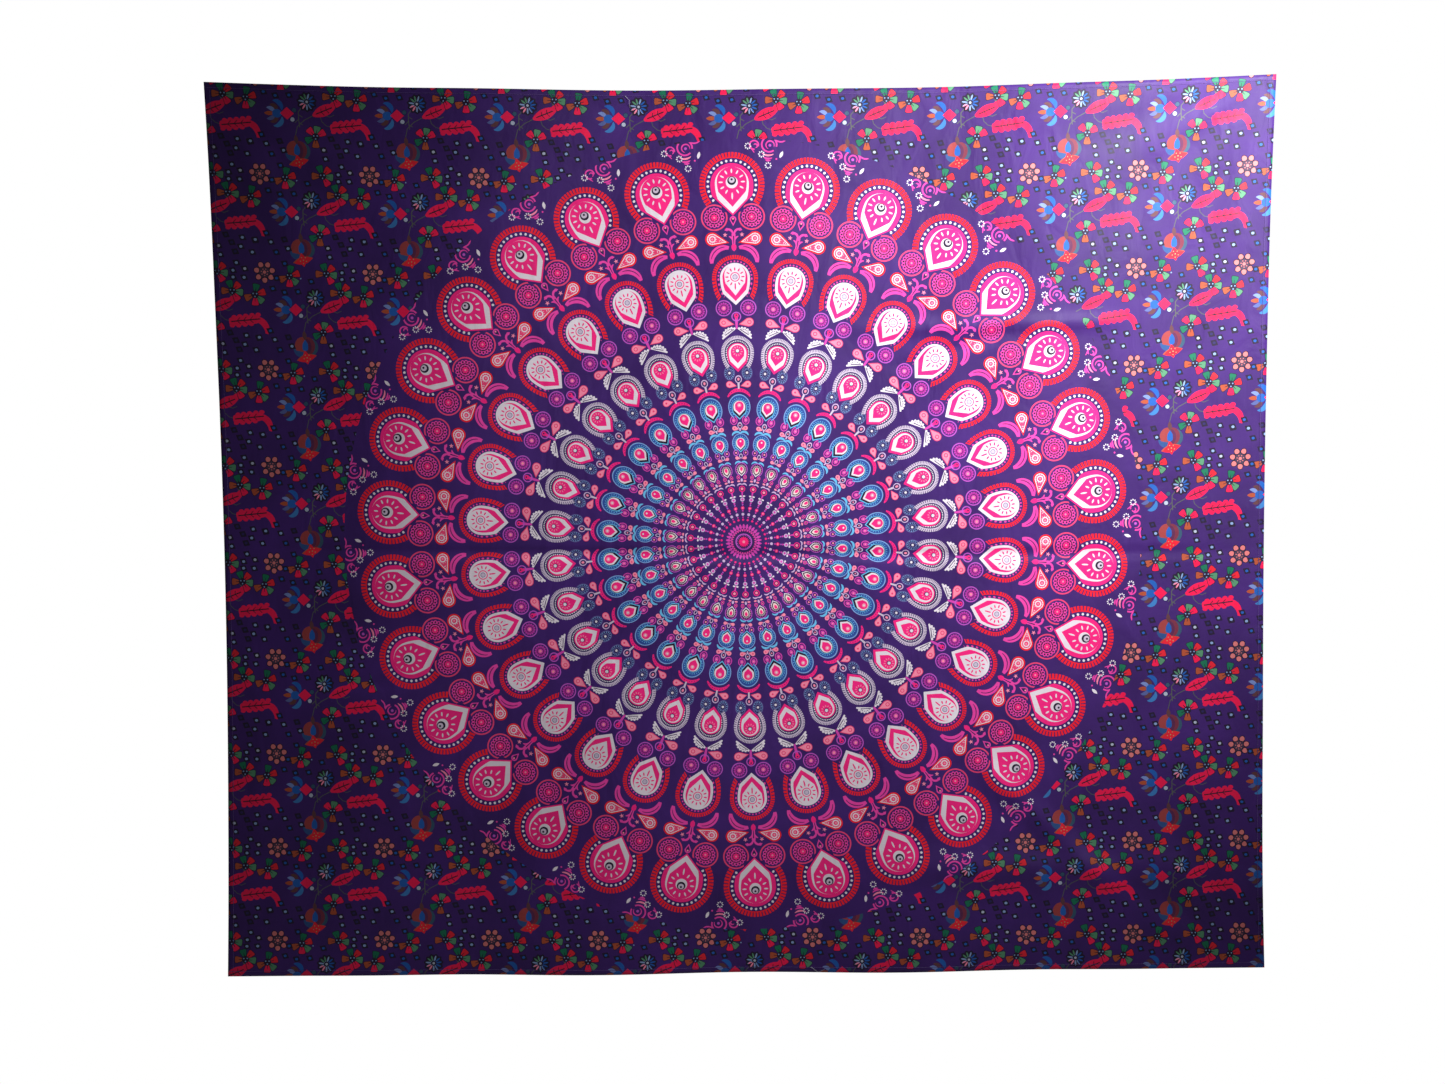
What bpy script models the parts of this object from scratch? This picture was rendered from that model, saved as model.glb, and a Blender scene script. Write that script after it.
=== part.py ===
"""Printed cloth wall hanging: one light sheet, hemmed on its four sides and held up by its corners.

Units are metres, +Z is up, +X is to the right of someone who faces the print, and the print faces -Y.
The origin is the middle of the line between the two top corners, on the plane of the wall (Y = 0).
"""

import bmesh
import bpy
import numpy as np

# The finished sheet, corner to corner.
WIDTH = 1.500
HEIGHT = 1.275

# How the sheet hangs: its sides pull in, its top edge sags, and its field stands off the wall.
SIDE_BOW = 0.0115
TOP_SAG = 0.017
BILLOW_DEPTH = 0.009
FOLD_DEPTH = 0.010
FOLD_PITCH = 0.430
FOLD_SLANT = 0.22
FOLD_START = 0.60
CORNER_FLAT = 0.080
CORNER_BLEND = 0.330

# The cloth and its hem, a narrow fold turned to the back and sewn down near its inner edge.
CLOTH_THICKNESS = 0.0005
HEM_WIDTH = 0.010
HEM_THICKNESS = 0.0010
SEAM_FROM_FOLD = 0.0025
SEAT_GAP = 0.0003

# The seam's two threads. The one behind is bedded in the hem, so that the hem lies flat on the wall.
THREAD_WIDTH = 0.0006
THREAD_THICKNESS = 0.0003
THREAD_RECESS = 0.0001
THREAD_END_GAP = 0.0010
BED_SLOPE = 0.0003

# Spacing of the mesh lines that follow the folds.
GRID_STEP = 0.049

# Every layer keeps its distance in front of the plane of the wall, where the sheet lies flat on it.
HEM_BACK = 0.0
PANEL_BACK = HEM_BACK + HEM_THICKNESS + SEAT_GAP
NEEDLE_BACK = PANEL_BACK + CLOTH_THICKNESS + SEAT_GAP
BOBBIN_BACK = HEM_BACK + THREAD_RECESS

# The seam's line, measured in from the sheet's edge, and the bed pressed into the hem along it.
SEAM_LINE = HEM_WIDTH - SEAM_FROM_FOLD
BED_DEPTH = THREAD_RECESS + THREAD_THICKNESS + SEAT_GAP
BED_HALF = 0.5 * THREAD_WIDTH + SEAT_GAP


def clear_scene():
    for old in list(bpy.data.objects):
        bpy.data.objects.remove(old, do_unlink=True)


def matte_material(name, colour, roughness):
    """A plain cloth or thread finish."""
    material = bpy.data.materials.new(name)
    material.use_nodes = True
    shader = material.node_tree.nodes["Principled BSDF"]
    shader.inputs["Base Color"].default_value = (*colour, 1.0)
    shader.inputs["Roughness"].default_value = roughness
    shader.inputs["Metallic"].default_value = 0.0
    material.diffuse_color = (*colour, 1.0)
    return material


def stand_off(across, down):
    """Distance of the hung sheet from the wall at a point of the flat sheet.

    A shallow billow and a row of slanting soft folds, both faded to nothing at the four corners.
    """
    to_side = np.minimum(across, WIDTH - across)
    to_end = np.minimum(down, HEIGHT - down)
    from_corner = np.clip((np.hypot(to_side, to_end) - CORNER_FLAT) / CORNER_BLEND, 0.0, 1.0)
    fade = from_corner**2 * (3.0 - 2.0 * from_corner)
    billow = BILLOW_DEPTH * np.sin(np.pi * across / WIDTH) * np.sin(np.pi * down / HEIGHT)
    turns = (across + FOLD_SLANT * down) / FOLD_PITCH + FOLD_START
    fold = FOLD_DEPTH * (0.5 - 0.5 * np.cos(2.0 * np.pi * turns))
    return fade * (billow + fold)


def hung_points(across, down, distance):
    """Where points of the flat sheet lie once it hangs, `distance` in front of its rearmost layer."""
    side = 2.0 * across / WIDTH - 1.0
    fall = down / HEIGHT
    x = side * (0.5 * WIDTH - SIDE_BOW * 4.0 * fall * (1.0 - fall))
    z = -TOP_SAG * (1.0 - side**2) * (1.0 - fall) - down
    y = -(stand_off(across, down) + distance)
    return np.stack([x, y, z], axis=-1).reshape(-1, 3)


def grid_triangles(columns, rows):
    """Two triangles for each cell, split along the same diagonal in every layer of the sheet."""
    corner = np.arange(columns * rows).reshape(rows, columns)
    top_left, top_right = corner[:-1, :-1].ravel(), corner[:-1, 1:].ravel()
    low_left, low_right = corner[1:, :-1].ravel(), corner[1:, 1:].ravel()
    upper = np.stack([top_left, low_left, top_right], axis=1)
    lower = np.stack([top_right, low_left, low_right], axis=1)
    return np.concatenate([upper, lower]).tolist()


def cloth_layer(name, across_lines, down_lines, back, thickness, material, bed=0.0):
    """A closed layer of the hung sheet: a grid over the given lines, extruded towards the room.

    `bed` is how deep each point of the layer's back is pressed in, for the thread that lies there.
    """
    across, down = np.meshgrid(across_lines, down_lines)
    mesh = bpy.data.meshes.new(name)
    faces = grid_triangles(len(across_lines), len(down_lines))
    mesh.from_pydata(hung_points(across, down, back).tolist(), [], faces)

    solid = bmesh.new()
    solid.from_mesh(mesh)
    behind = solid.verts[:]
    extruded = bmesh.ops.extrude_face_region(solid, geom=solid.faces[:], use_keep_orig=True)
    front = [item for item in extruded["geom"] if isinstance(item, bmesh.types.BMVert)]
    bmesh.ops.translate(solid, verts=front, vec=(0.0, -thickness, 0.0))
    for vert, depth in zip(behind, np.broadcast_to(bed, across.shape).ravel()):
        vert.co.y -= depth
    bmesh.ops.recalc_face_normals(solid, faces=solid.faces[:])
    solid.to_mesh(mesh)
    solid.free()

    mesh.materials.append(material)
    mesh.shade_smooth()
    mesh.set_sharp_from_angle(angle=np.radians(40.0))
    layer = bpy.data.objects.new(name, mesh)
    bpy.context.scene.collection.objects.link(layer)


def mesh_lines(length):
    """Lines along one side of the sheet, with one at each hem's inner fold."""
    steps = max(2, round((length - 2.0 * HEM_WIDTH) / GRID_STEP))
    inner = np.linspace(HEM_WIDTH, length - HEM_WIDTH, steps + 1)
    return np.concatenate([[0.0], inner, [length]])


def trimmed(lines, margin):
    """The same lines, kept `margin` away from both ends."""
    low, high = lines[0] + margin, lines[-1] - margin
    inner = lines[(lines > low) & (lines < high)]
    return np.concatenate([[low], inner, [high]])


def build_panel(material):
    """The printed sheet itself, out to its folded edges."""
    across, down = mesh_lines(WIDTH), mesh_lines(HEIGHT)
    cloth_layer("printed_panel", across, down, PANEL_BACK, CLOTH_THICKNESS, material)


def build_hems(material):
    """The turned hems: top and bottom run right across, and the two sides fit between them."""
    near, far = SEAM_LINE - BED_HALF, SEAM_LINE + BED_HALF
    profile = np.array([0.0, near - BED_SLOPE, near, far, far + BED_SLOPE, HEM_WIDTH])
    bed = np.array([0.0, 0.0, BED_DEPTH, BED_DEPTH, 0.0, 0.0])
    across = mesh_lines(WIDTH)
    between = trimmed(mesh_lines(HEIGHT), HEM_WIDTH + SEAT_GAP)
    size = (HEM_BACK, HEM_THICKNESS, material)
    cloth_layer("hem_fold_top", across, profile, *size, bed[:, None])
    cloth_layer("hem_fold_bottom", across, HEIGHT - profile[::-1], *size, bed[::-1, None])
    cloth_layer("hem_fold_left", profile, between, *size, bed[None, :])
    cloth_layer("hem_fold_right", WIDTH - profile[::-1], between, *size, bed[None, ::-1])


def build_threads(kind, back, material):
    """The thread of each hem's seam, on one face of the cloth. The side seams end at the cross hems."""
    across = trimmed(mesh_lines(WIDTH), THREAD_END_GAP)
    down = trimmed(mesh_lines(HEIGHT), HEM_WIDTH + THREAD_END_GAP)
    seam = SEAM_LINE + 0.5 * THREAD_WIDTH * np.array([-1.0, 1.0])
    size = (back, THREAD_THICKNESS, material)
    cloth_layer(kind + "_thread_top", across, seam, *size)
    cloth_layer(kind + "_thread_bottom", across, HEIGHT - seam[::-1], *size)
    cloth_layer(kind + "_thread_left", seam, down, *size)
    cloth_layer(kind + "_thread_right", WIDTH - seam[::-1], down, *size)


clear_scene()
printed_cloth = matte_material("printed_cloth", (0.075, 0.022, 0.185), 0.55)
build_panel(printed_cloth)
build_hems(printed_cloth)
build_threads("needle", NEEDLE_BACK, matte_material("needle_thread", (0.060, 0.020, 0.150), 0.60))
build_threads("bobbin", BOBBIN_BACK, matte_material("bobbin_thread", (0.70, 0.68, 0.72), 0.60))
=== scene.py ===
import math

import bpy
import numpy as np
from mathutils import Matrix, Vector


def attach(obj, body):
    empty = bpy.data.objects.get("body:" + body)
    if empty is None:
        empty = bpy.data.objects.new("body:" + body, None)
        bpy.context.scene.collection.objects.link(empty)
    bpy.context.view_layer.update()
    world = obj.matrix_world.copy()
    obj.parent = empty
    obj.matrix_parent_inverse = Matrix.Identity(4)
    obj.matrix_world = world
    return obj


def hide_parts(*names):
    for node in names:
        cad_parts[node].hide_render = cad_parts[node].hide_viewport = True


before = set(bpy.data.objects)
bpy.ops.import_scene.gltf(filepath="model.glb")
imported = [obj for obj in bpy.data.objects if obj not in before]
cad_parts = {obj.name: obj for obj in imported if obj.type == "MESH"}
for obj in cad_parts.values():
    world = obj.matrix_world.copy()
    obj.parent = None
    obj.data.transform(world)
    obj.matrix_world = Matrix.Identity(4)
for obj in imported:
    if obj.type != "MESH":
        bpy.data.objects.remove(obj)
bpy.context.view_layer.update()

# THE SHEET. One piece of light polyester cloth, 1.5 m wide, pinned to a wall by its four corners so
# that its sides pull in, its top edge sags and soft slanting folds cross it. The cloth is plain woven
# and satin smooth, and the pattern is printed by heat into its front, so its back shows only a ghost.
width = 1.500
height = 1.275
hem_width = 0.010
seam_line = 0.0075
panel_back = 0.0013
panel_thickness = 0.0005
middle = (0.750, 0.6433)


def stand_off(across, down):
    """How far the hung sheet stands off the wall: a shallow billow, sine across times sine down, plus
    a row of slanting folds, a raised cosine, both faded out by a smooth step round the corners."""
    to_side = np.minimum(across, width - across)
    to_end = np.minimum(down, height - down)
    from_corner = np.clip((np.hypot(to_side, to_end) - 0.080) / 0.330, 0.0, 1.0)
    fade = from_corner**2 * (3.0 - 2.0 * from_corner)
    billow = 0.009 * np.sin(np.pi * across / width) * np.sin(np.pi * down / height)
    turns = (across + 0.22 * down) / 0.430 + 0.60
    return fade * (billow + 0.010 * (0.5 - 0.5 * np.cos(2.0 * np.pi * turns)))


def crease(across, down, start, end, depth, half):
    """A pressed crease between two points of the flat sheet: a ridge of the given depth, bell-shaped
    over its half width, that dies out towards both ends as one minus the fourth power."""
    run = np.array(end) - np.array(start)
    length = np.hypot(*run)
    along = ((across - start[0]) * run[0] + (down - start[1]) * run[1]) / length**2
    off = ((across - start[0]) * run[1] - (down - start[1]) * run[0]) / length
    fade = np.clip(1.0 - (2.0 * along - 1.0) ** 4, 0.0, 1.0) * (np.abs(2.0 * along - 1.0) < 1.0)
    return depth * fade * np.exp(-((off / half) ** 2))


def creasing(across, down):
    """Small creases left by the packing, and the ripples of cloth pulled from its corners: a sum of
    ridges and of sine ripples that fan out from each corner and fade with the distance from it."""
    rise = 0.0
    for start, end, depth, half in (
        ((0.02, 0.652), (1.48, 0.668), -0.0036, 0.006),
        ((0.748, 0.03), (0.742, 1.25), -0.0009, 0.005),
        ((0.90, 0.34), (1.30, 0.335), 0.0038, 0.010),
        ((0.96, 0.40), (1.16, 0.335), -0.0030, 0.008),
        ((1.05, 0.93), (1.33, 1.20), 0.0040, 0.018),
        ((0.94, 1.12), (1.42, 1.13), 0.0060, 0.024),
        ((0.10, 0.85), (0.52, 0.83), -0.0010, 0.010),
        ((0.15, 0.30), (0.46, 0.20), 0.0010, 0.014),
    ):
        rise = rise + crease(across, down, start, end, depth, half)
    for side, end, depth in ((0, 0, 0.0016), (1, 0, 0.0018), (0, 1, 0.0014), (1, 1, 0.0018)):
        x = np.abs(across - side * width)
        y = np.abs(down - end * height)
        far = np.hypot(x, y)
        turn = np.arctan2(y, x + 1e-6)
        fade = np.clip((far - 0.03) / 0.12, 0.0, 1.0) * np.exp(-((far / 0.34) ** 2))
        rise += depth * fade * np.sin(turn * (13.0 + 2.0 * side) + 1.3 * end + 0.6)
    edge = np.minimum(np.minimum(across, width - across), np.minimum(down, height - down))
    pucker = np.sin(across * 151.0 + 2.0 * np.sin(down * 17.0)) * np.sin(down * 139.0 + across * 9.0)
    rise += 0.0002 * np.exp(-((edge / 0.03) ** 2)) * pucker
    hold = np.clip(edge / 0.05, 0.0, 1.0)
    return rise * hold**2 * (3.0 - 2.0 * hold)


def hung(across, down, distance):
    """Places of points of the sheet. The sides bow in as a parabola down the height, the top edge
    sags as a parabola that dies out downwards, and each point stands off the wall and so faces -Y."""
    across, down, distance = np.broadcast_arrays(across, down, distance)
    side = 2.0 * across / width - 1.0
    fall = down / height
    x = side * (0.5 * width - 0.0115 * 4.0 * fall * (1.0 - fall))
    z = -0.017 * (1.0 - side**2) * (1.0 - fall) - down
    return np.stack([x, -(stand_off(across, down) + distance), z], axis=-1)


def surface(name, points, faces, layers=()):
    """A mesh piece from whole arrays: points (n, 3) and faces (m, 4), with its object at the origin.
    Each of layers is a map's name and its (m, 4, 2) values at the corners of the faces."""
    mesh = bpy.data.meshes.new(name)
    mesh.vertices.add(len(points))
    mesh.vertices.foreach_set("co", points.astype(np.float32).ravel())
    mesh.loops.add(faces.size)
    mesh.loops.foreach_set("vertex_index", faces.astype(np.int32).ravel())
    mesh.polygons.add(len(faces))
    mesh.polygons.foreach_set("loop_start", np.arange(0, faces.size, 4, dtype=np.int32))
    mesh.polygons.foreach_set("loop_total", np.full(len(faces), 4, dtype=np.int32))
    mesh.polygons.foreach_set("use_smooth", np.ones(len(faces), dtype=bool))
    for layer, values in layers:
        mesh.uv_layers.new(name=layer).data.foreach_set("uv", values.astype(np.float32).ravel())
    mesh.update(calc_edges=True)
    mesh.validate()
    piece = bpy.data.objects.new(name, mesh)
    bpy.context.collection.objects.link(piece)
    return piece


def cloth_sheet(name, columns, rows):
    """The closed thin sheet. Its front and back are the same grid of the flat sheet, placed at two
    distances, and a ring of faces round the edge joins them. Map "flat" holds metres across and down,
    and map "OFBake" lays the front over the upper part of the bake and the back under it."""
    across, down = np.meshgrid(np.linspace(0, width, columns + 1), np.linspace(0, height, rows + 1))
    rise = creasing(across, down)
    back = hung(across, down, panel_back + rise).reshape(-1, 3)
    front = hung(across, down, panel_back + panel_thickness + rise).reshape(-1, 3)
    index = np.arange(front.shape[0]).reshape(rows + 1, columns + 1)
    cell = np.stack([index[:-1, :-1], index[1:, :-1], index[1:, 1:], index[:-1, 1:]], -1)
    cell = cell.reshape(-1, 4)
    loop = np.concatenate([index[0, :-1], index[:-1, -1], index[-1, :0:-1], index[:0:-1, 0]])
    after = np.roll(loop, -1)
    total = front.shape[0]
    rim = np.stack([loop, after, after + total, loop + total], -1)
    faces = np.concatenate([cell, cell[:, ::-1] + total, rim])
    flat = np.tile(np.stack([across, down], -1).reshape(-1, 2), (2, 1))[faces]
    share = np.stack([flat[..., 0] / width, 1.0 - flat[..., 1] / height], -1)
    bake = np.where(
        (faces < total).any(axis=1)[:, None, None],
        share * (0.990, 0.700) + (0.005, 0.295),
        share * (0.990, 0.280) + (0.005, 0.005),
    )
    points = np.concatenate([front, back])
    piece = surface(name, points, faces, (("flat", flat), ("OFBake", bake)))
    slots = np.zeros(len(faces), dtype=np.int32)
    slots[len(cell):2 * len(cell)] = 1
    piece.data.polygons.foreach_set("material_index", slots)
    return piece


class Flow:
    """One output socket inside a material. Python's operators on it add Math nodes, and its other
    methods add the nodes that a pattern is worked out with."""

    def __init__(self, tree, socket):
        self.tree = tree
        self.socket = socket

    def math(self, operation, *others, clamp=False):
        settings = {"operation": operation, "use_clamp": clamp}
        values = {0: self, **{i + 1: other for i, other in enumerate(others)}}
        return node(self.tree, "ShaderNodeMath", settings, values)

    def vector(self, operation, *others, output=0):
        values = {0: self, **{i + 1: other for i, other in enumerate(others)}}
        return node(self.tree, "ShaderNodeVectorMath", {"operation": operation}, values, output)

    def __add__(self, other):
        return self.math("ADD", other)

    def __radd__(self, other):
        return self.math("ADD", other)

    def __sub__(self, other):
        return self.math("SUBTRACT", other)

    def __rsub__(self, other):
        return node(self.tree, "ShaderNodeMath", {"operation": "SUBTRACT"}, {0: other, 1: self})

    def __mul__(self, other):
        return self.math("MULTIPLY", other)

    def __rmul__(self, other):
        return self.math("MULTIPLY", other)

    def __truediv__(self, other):
        return self.math("DIVIDE", other)

    def __abs__(self):
        return self.math("ABSOLUTE")

    def __lt__(self, other):
        return self.math("LESS_THAN", other)

    def __gt__(self, other):
        return self.math("GREATER_THAN", other)

    def parts(self):
        """The first two numbers of a vector, as its dot products with the two ways."""
        ways = ((1.0, 0.0, 0.0), (0.0, 1.0, 0.0))
        return tuple(self.vector("DOT_PRODUCT", way, output=1) for way in ways)

    def placed(self, x, y, turn=0.0, wide=1.0, high=1.0):
        """The vector seen from a shape's own frame: moved to its centre, turned and scaled to it."""
        values = {"Vector": self, "Location": (x, y, 0), "Rotation": (0, 0, math.radians(turn))}
        values["Scale"] = (wide, high, 1)
        return node(self.tree, "ShaderNodeMapping", {"vector_type": "TEXTURE"}, values)


def node(tree, kind, settings, values, output=0):
    """Adds any node: its settings first, then the values or links of its sockets. Returns an output."""
    made = tree.nodes.new(kind)
    for name, setting in settings.items():
        setattr(made, name, setting)
    for name, value in values.items():
        socket = made.inputs[name]
        if isinstance(value, Flow):
            tree.links.new(value.socket, socket)
        elif value is not None:
            socket.default_value = value
    return Flow(tree, made.outputs[output]) if made.outputs else None


def dye(red, green, blue):
    """A colour given in steps of 0 to 255, as linear light."""
    steps = np.array([red, green, blue]) / 255.0
    light = np.where(steps <= 0.04045, steps / 12.92, ((steps + 0.055) / 1.055) ** 2.4)
    return (*light.tolist(), 1.0)


def mix(tree, factor, first, second, blend="MIX"):
    """A colour Mix node."""
    settings = {"data_type": "RGBA", "blend_type": blend}
    return node(tree, "ShaderNodeMix", settings, {0: factor, 6: first, 7: second}, 2)


# Shapes of the print. Each is a box (low x, high x, low y, high y) in millimetres and a function that
# turns the flat place into a mask, 1 inside the shape and 0 outside.


def blob(x, y, wide, high=None, turn=0.0):
    """A disc or an ellipse: the length of the place, seen from the ellipse's frame, is under 1."""
    high = wide if high is None else high
    reach = max(wide, high)

    def mask(at):
        return at.placed(x, y, turn, wide, high).vector("LENGTH", output=1) < 1.0

    return (x - reach, x + reach, y - reach, y + reach), mask


def band(x, y, middle_radius, half):
    """A round outline: the distance from its centre is within half of the radius."""
    reach = middle_radius + half

    def mask(at):
        return abs(at.vector("DISTANCE", (x, y, 0), output=1) - middle_radius) < half

    return (x - reach, x + reach, y - reach, y + reach), mask


def drop(x, y, radius, tip, turn=0.0, angle=45.0, stretch=None):
    """A drop whose tip points down: inside a circle stretched downwards, and inside the wedge of the
    given half angle whose corner is the tip."""
    stretch = radius / tip if stretch is None else stretch
    sine = math.sin(math.radians(angle))
    cosine = math.cos(math.radians(angle))
    reach = max(radius, tip)

    def mask(at):
        side, rise = at.placed(x, y, turn).parts()
        low = rise.math("MAXIMUM", rise * stretch)
        circle = side * side + low * low < radius * radius
        return circle * (abs(side) * cosine - rise * sine < tip * sine)

    return (x - reach, x + reach, y - reach, y + reach), mask


def polar(at, x, y, turn, stretch):
    """Distance and angle of the place round a shape's centre, the angle clockwise from up. Below the
    centre the shape is stretched, so there the height is first scaled down by stretch."""
    side, rise = at.placed(x, y, turn).parts()
    rise = rise if stretch == 1.0 else rise.math("MAXIMUM", rise * stretch)
    return (side * side + rise * rise).math("SQRT"), side.math("ARCTAN2", rise)


def petals(x, y, inner, outer, count=6, turn=0.0, stretch=1.0, span=180.0, sharp=False):
    """A rosette: the radius limit swings between inner and outer as the size of a cosine of the angle
    round the centre, or, where sharp, as one minus the size of a sine. span is the half angle kept."""
    reach = outer / stretch

    def mask(at):
        out, angle = polar(at, x, y, turn, stretch)
        wave = angle * (0.5 * count)
        wave = 1.0 - abs(wave.math("SINE")) if sharp else abs(wave.math("COSINE"))
        inside = out < wave * (outer - inner) + inner
        return inside * (abs(angle) < math.radians(span)) if span < 180 else inside

    return (x - reach, x + reach, y - reach, y + reach), mask


def bricks(x, y, inner, outer, count=40, stretch=1.0, span=128.0, fill=0.70, sill=0.25):
    """A band of bricks round a motif: the distance is between inner and outer, the angle is within
    the span, and it is in the filled share of its step or on the sill, the band's unbroken inside."""
    reach = outer / stretch

    def mask(at):
        out, angle = polar(at, x, y, 0.0, stretch)
        step = abs((angle * (0.5 * count / math.pi)).math("FRACT") - 0.5) < 0.5 * fill
        solid = step.math("MAXIMUM", out < inner + sill * (outer - inner))
        inside = (out < outer) * (out > inner) * (abs(angle) < math.radians(span))
        return inside * solid

    return (x - reach, x + reach, y - reach, y + reach), mask


def dots(x, y, radius, wide, high=None, count=12, turn=0.0, stretch=1.0, span=180.0):
    """Equal dots on a circle: the angle is folded into count steps, and the place inside one step,
    round the circle and out from it, is inside an ellipse."""
    high = wide if high is None else high
    reach = (radius + high) / stretch

    def mask(at):
        out, angle = polar(at, x, y, turn, stretch)
        step = (angle * (0.5 * count / math.pi) + 0.5).math("FRACT") - 0.5
        round_it = step * out * (2.0 * math.pi / count / wide)
        off = out * (1.0 / high) - radius / high
        inside = round_it * round_it + off * off < 1.0
        return inside * (abs(angle) < math.radians(span)) if span < 180 else inside

    return (x - reach, x + reach, y - reach, y + reach), mask


def beyond(x0, y0, x1, y1):
    """Everything to the left of the way from one point to another."""
    normal = (y0 - y1, x1 - x0, 0)

    def mask(at):
        return at.vector("DOT_PRODUCT", normal, output=1) > normal[0] * x0 + normal[1] * y0

    return (-1e3, 1e3, -1e3, 1e3), mask


def leaf(x0, y0, x1, y1, half, blunt=0.0):
    """A pointed leaf between two points: its half width falls from half as one minus the square of
    the place along it, down to the share blunt at its ends."""
    length = math.hypot(x1 - x0, y1 - y0)
    turn = math.degrees(math.atan2(y1 - y0, x1 - x0))
    box = (min(x0, x1) - half, max(x0, x1) + half, min(y0, y1) - half, max(y0, y1) + half)

    def mask(at):
        here = at.placed(0.5 * (x0 + x1), 0.5 * (y0 + y1), turn, 0.5 * length, half)
        along, off = here.parts()
        return (abs(off) < 1.0 - along * along * (1.0 - blunt)) * (abs(along) < 1.0)

    return box, mask


def wedge(x0, y0, x1, y1, half, end):
    """A straight-sided blunt petal: its half width goes evenly from half to end, with round corners
    where the fourth powers of the two places in it add up to 1."""
    length = math.hypot(x1 - x0, y1 - y0)
    turn = math.degrees(math.atan2(y1 - y0, x1 - x0))
    reach = max(half, end)
    box = (min(x0, x1) - reach, max(x0, x1) + reach, min(y0, y1) - reach, max(y0, y1) + reach)

    def mask(at):
        along, off = at.placed(0.5 * (x0 + x1), 0.5 * (y0 + y1), turn, 0.5 * length, 1.0).parts()
        off = off / (along * (0.5 * (end - half)) + 0.5 * (end + half))
        along = along * along
        off = off * off
        return along * along + off * off < 1.0

    return box, mask


def stroke(x0, y0, x1, y1, half, end=None):
    """A straight round-ended line whose half width goes from half to end: the distance from the
    nearest point of the line, which is the place's share of the run, held between 0 and 1."""
    end = half if end is None else end
    run = (x1 - x0, y1 - y0, 0)
    square = run[0] ** 2 + run[1] ** 2
    reach = max(half, end)
    box = (min(x0, x1) - reach, max(x0, x1) + reach, min(y0, y1) - reach, max(y0, y1) + reach)

    def mask(at):
        here = at.vector("SUBTRACT", (x0, y0, 0))
        share = here.vector("DOT_PRODUCT", run, output=1).math("MULTIPLY", 1 / square, clamp=True)
        near = node(at.tree, "ShaderNodeVectorMath", {"operation": "SCALE"}, {0: run, 3: share})
        return here.vector("DISTANCE", near, output=1) < share * (end - half) + half

    return box, mask


def arch(x, y, radius, half, start=-60.0, stop=60.0, thin=0.0):
    """A bow cut from a circle: its half width falls from half, at the middle of its run, to the share
    thin at its ends. Angles go clockwise from straight up."""
    centre = math.radians(0.5 * (start + stop))
    sweep = math.radians(0.5 * (stop - start))
    reach = radius + half

    def mask(at):
        here = at.vector("SUBTRACT", (x, y, 0))
        turned = here.placed(0, 0, -math.degrees(centre)) if centre else here
        side, rise = turned.parts()
        share = abs(side.math("ARCTAN2", rise)) * (1.0 / sweep)
        width_here = half - share * share * half * (1.0 - thin)
        off = abs(here.vector("LENGTH", output=1) - radius)
        return (off < width_here) * (share < 1.0)

    return (x - reach, x + reach, y - reach, y + reach), mask


def diamond(x, y, wide, high=None, turn=0.0):
    """A lozenge: the sizes of the two places in its frame add up to less than 1."""
    high = wide if high is None else high
    reach = max(wide, high)

    def mask(at):
        side, rise = at.placed(x, y, turn, wide, high).parts()
        return abs(side) + abs(rise) < 1.0

    return (x - reach, x + reach, y - reach, y + reach), mask


def both(first, second):
    """Where two shapes overlap: the product of their masks."""
    box = tuple(f(a, b) for f, a, b in zip((max, min, max, min), first[0], second[0]))
    return box, lambda at: first[1](at) * second[1](at)


def without(first, second):
    """A shape with another cut out of it: its mask times one minus the other's."""
    return first[0], lambda at: first[1](at) * (1.0 - second[1](at))


# Dyes of the print.
red = dye(232, 20, 40)
hot_pink = dye(240, 28, 124)
pink = dye(226, 62, 158)
magenta = dye(205, 62, 168)
coral = dye(228, 62, 112)
rose = dye(245, 135, 165)
wine = dye(165, 35, 140)
lilac = dye(185, 80, 190)
mauve = dye(200, 170, 210)
white = dye(224, 214, 224)
grey = dye(200, 185, 205)
night = dye(28, 12, 44)
plum = dye(44, 20, 80)
navy = dye(36, 28, 84)
slate = dye(90, 92, 146)
sky = dye(120, 160, 215)
cyan = dye(100, 180, 225)
blue = dye(40, 72, 148)
cream = dye(235, 205, 205)

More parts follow.
